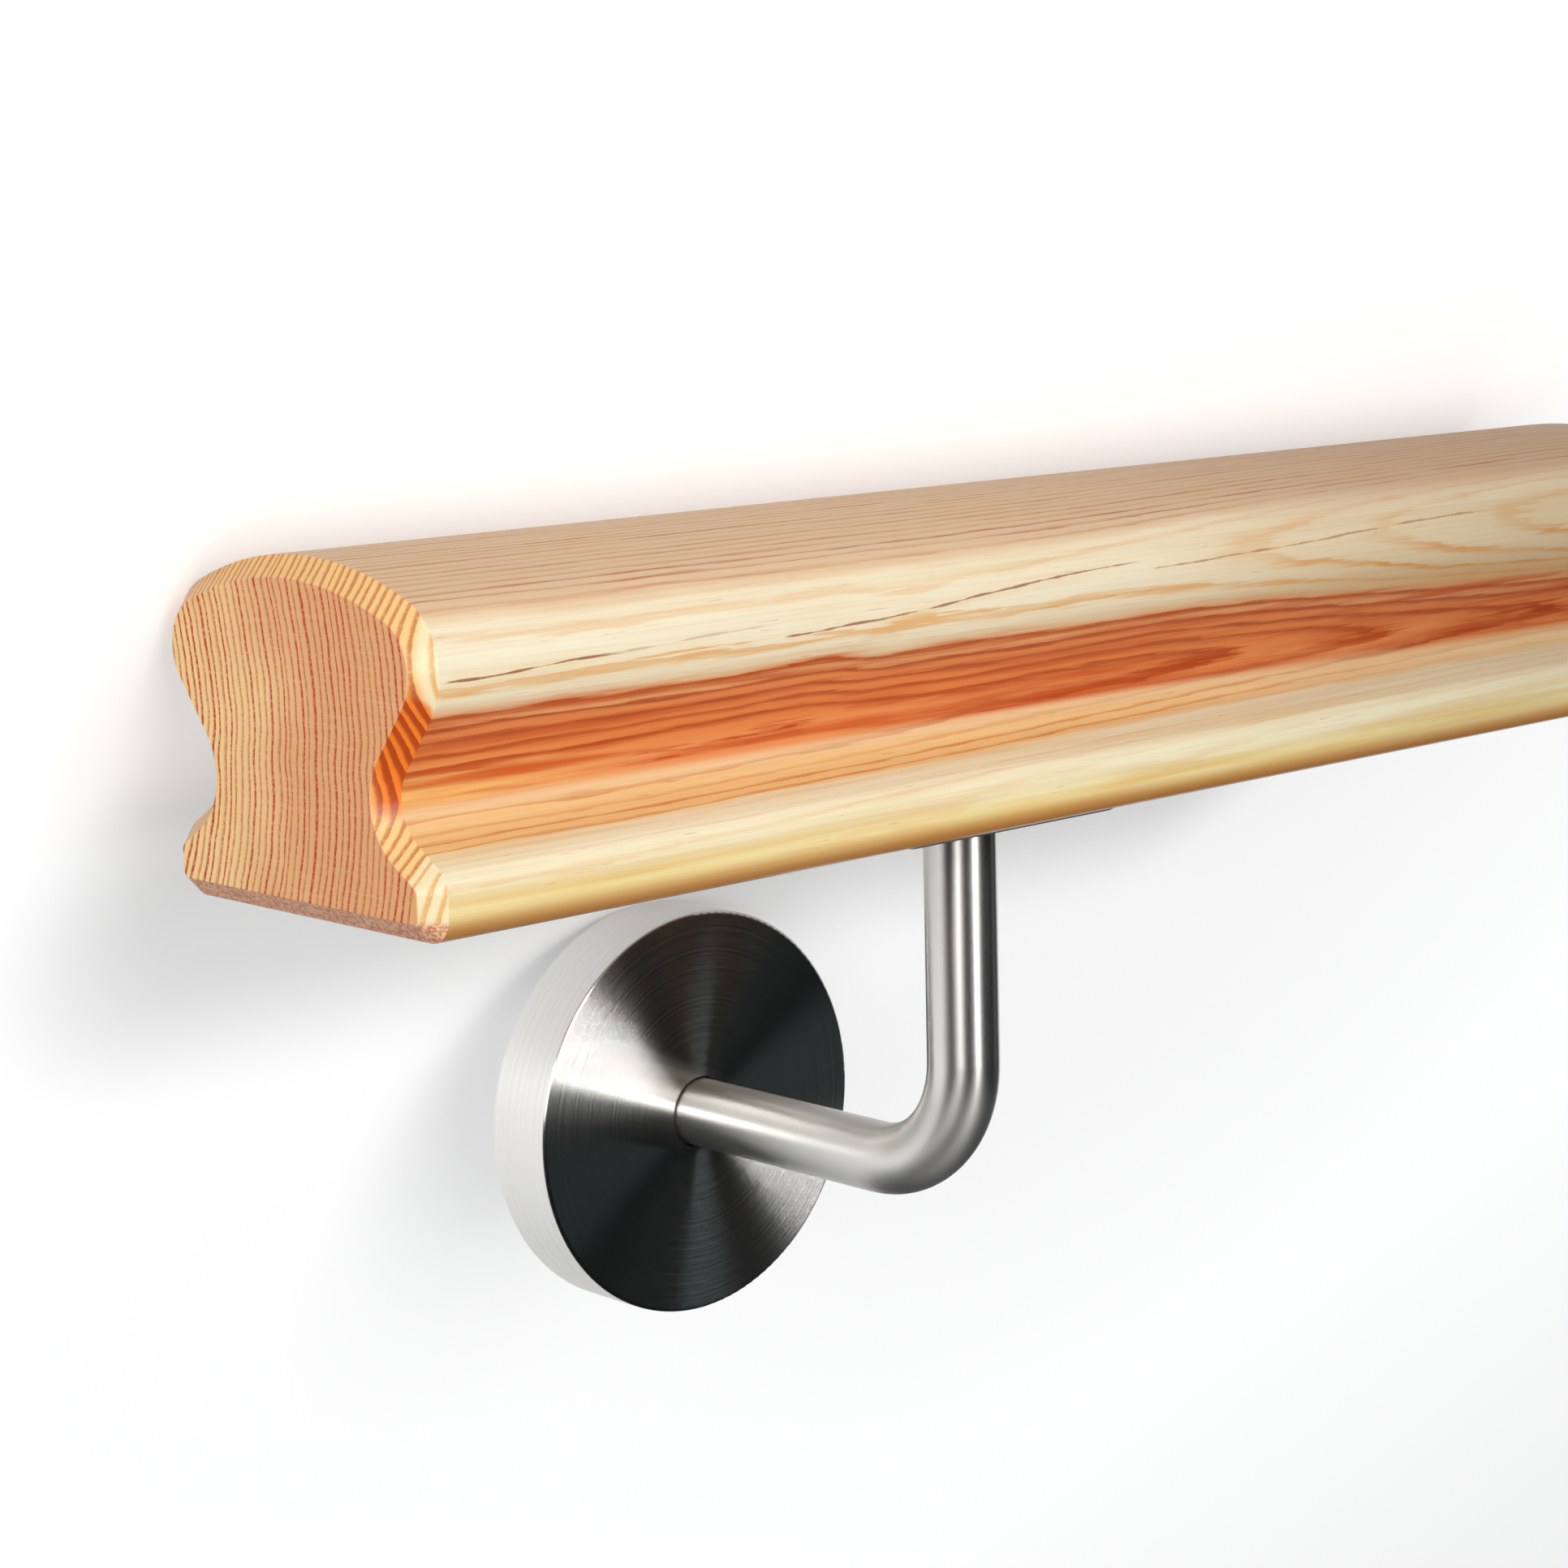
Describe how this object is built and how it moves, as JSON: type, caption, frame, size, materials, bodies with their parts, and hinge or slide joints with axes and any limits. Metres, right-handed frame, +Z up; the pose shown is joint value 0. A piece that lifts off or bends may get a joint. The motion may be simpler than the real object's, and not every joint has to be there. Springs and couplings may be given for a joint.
{
  "type": "stair handrail length",
  "caption": "Short lacquered larch handrail of omega section, with finger grooves and chamfered ends, on a bent steel wall bracket with a round cover.",
  "frame": {"origin": "middle of the object's footprint on the floor it lies on", "axes": "+X along the rail away from the end that shows; +Z up from the floor; the wall side lies down and towards -Y"},
  "size_m": [0.3, 0.1775, 0.0827],
  "materials": {
    "larch": "clear satin lacquer over planed larch",
    "bracket_steel": "satin ground stainless bar",
    "screw_steel": "bright stainless screw",
    "flange_steel": "plain rolled plate",
    "cover_steel": "turned stainless face with fine circular marks"
  },
  "bodies": {
    "root": {"handrail": "larch", "saddle_plate": "bracket_steel", "saddle_screw_1": "screw_steel", "saddle_screw_2": "screw_steel", "bracket_rod": "bracket_steel", "wall_flange": "flange_steel", "rosette_cover": "cover_steel"}
  },
  "joints": []
}
